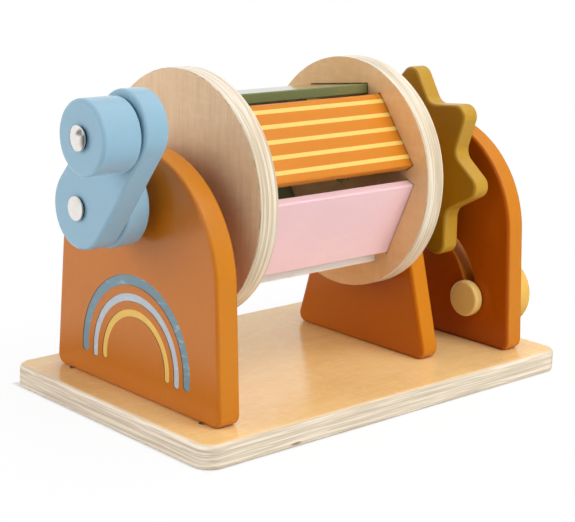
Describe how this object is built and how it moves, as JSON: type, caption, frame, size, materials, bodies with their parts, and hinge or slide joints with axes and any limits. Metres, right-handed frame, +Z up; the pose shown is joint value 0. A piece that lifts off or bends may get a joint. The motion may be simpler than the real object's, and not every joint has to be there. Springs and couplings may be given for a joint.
{
  "type": "wooden crank gear toy",
  "caption": "Wooden toy on a plywood base: a crank turns a slatted drum and a sun-shaped wheel between painted arch uprights, and a button slides in an arched slot.",
  "frame": {"origin": "centre of the base board's flat underside", "axes": "+X along the drum's axis, from the crank to the sliding button; +Y across the base; +Z up"},
  "size_m": [0.3347, 0.18, 0.194],
  "materials": {
    "birch_plywood": "clear matt lacquer on birch plywood, ply lines on the edges",
    "caramel_paint": "satin water-based paint over smooth wood",
    "blue_paint": "satin pale blue paint over smooth wood",
    "mustard_paint": "satin mustard paint over smooth wood",
    "orange_paint": "satin orange paint with pale yellow stripes",
    "green_paint": "satin olive green paint",
    "sky_paint": "satin light blue paint",
    "sage_paint": "satin sage green paint",
    "white_paint": "satin off-white paint",
    "pink_paint": "satin pale pink paint",
    "cream_paint": "satin cream yellow paint",
    "yellow_paint": "satin warm yellow paint",
    "beech": "turned beech, bare",
    "steel": "bright nickel-plated steel",
    "nylon": "natural nylon"
  },
  "bodies": {
    "stand": {"base_board": "birch_plywood", "base_screws": "steel", "front_upright": "caramel_paint", "middle_upright": "caramel_paint", "rear_upright": "caramel_paint"},
    "drum": {"front_disc": "birch_plywood", "rear_disc": "birch_plywood", "slat_orange_striped": "orange_paint", "slat_green": "green_paint", "slat_sky": "sky_paint", "slat_sage": "sage_paint", "slat_white": "white_paint", "slat_pink": "pink_paint", "crank_axle": "steel", "crank_axle_cap": "steel", "crank_axle_inner_cap": "steel", "sun_axle": "steel", "sun_axle_inner_cap": "steel", "sun_axle_cap": "steel", "crank_spacer": "beech", "front_drum_spacer": "beech", "rear_drum_spacer": "beech", "sun_spacer": "beech", "crank_arm": "blue_paint", "crank_boss": "blue_paint", "knob_pin": "steel", "knob_cap": "steel", "knob_back_cap": "steel", "sun_wheel": "mustard_paint"},
    "knob": {"crank_knob": "blue_paint"},
    "slider": {"slider_sleeve": "nylon"},
    "buttons": {"slider_inner_button": "cream_paint", "slider_outer_button": "yellow_paint", "slider_pin": "steel"}
  },
  "joints": [
    {"name": "drum_spin", "type": "hinge", "parent": "stand", "child": "drum", "pos_m": [0, 0, 0.124], "axis": [1, 0, 0], "continuous": true},
    {"name": "knob_spin", "type": "hinge", "parent": "drum", "child": "knob", "pos_m": [-0.1741, -0.03684, 0.16854], "axis": [1, 0, 0], "continuous": true},
    {"name": "slider_travel", "type": "hinge", "parent": "stand", "child": "slider", "pos_m": [0.1181, 0, 0.0403], "axis": [-1, 0, 0], "range_deg": [0, 176]},
    {"name": "button_turn", "type": "hinge", "parent": "slider", "child": "buttons", "pos_m": [0.1181, -0.04187, 0.04176], "axis": [1, 0, 0], "continuous": true}
  ]
}
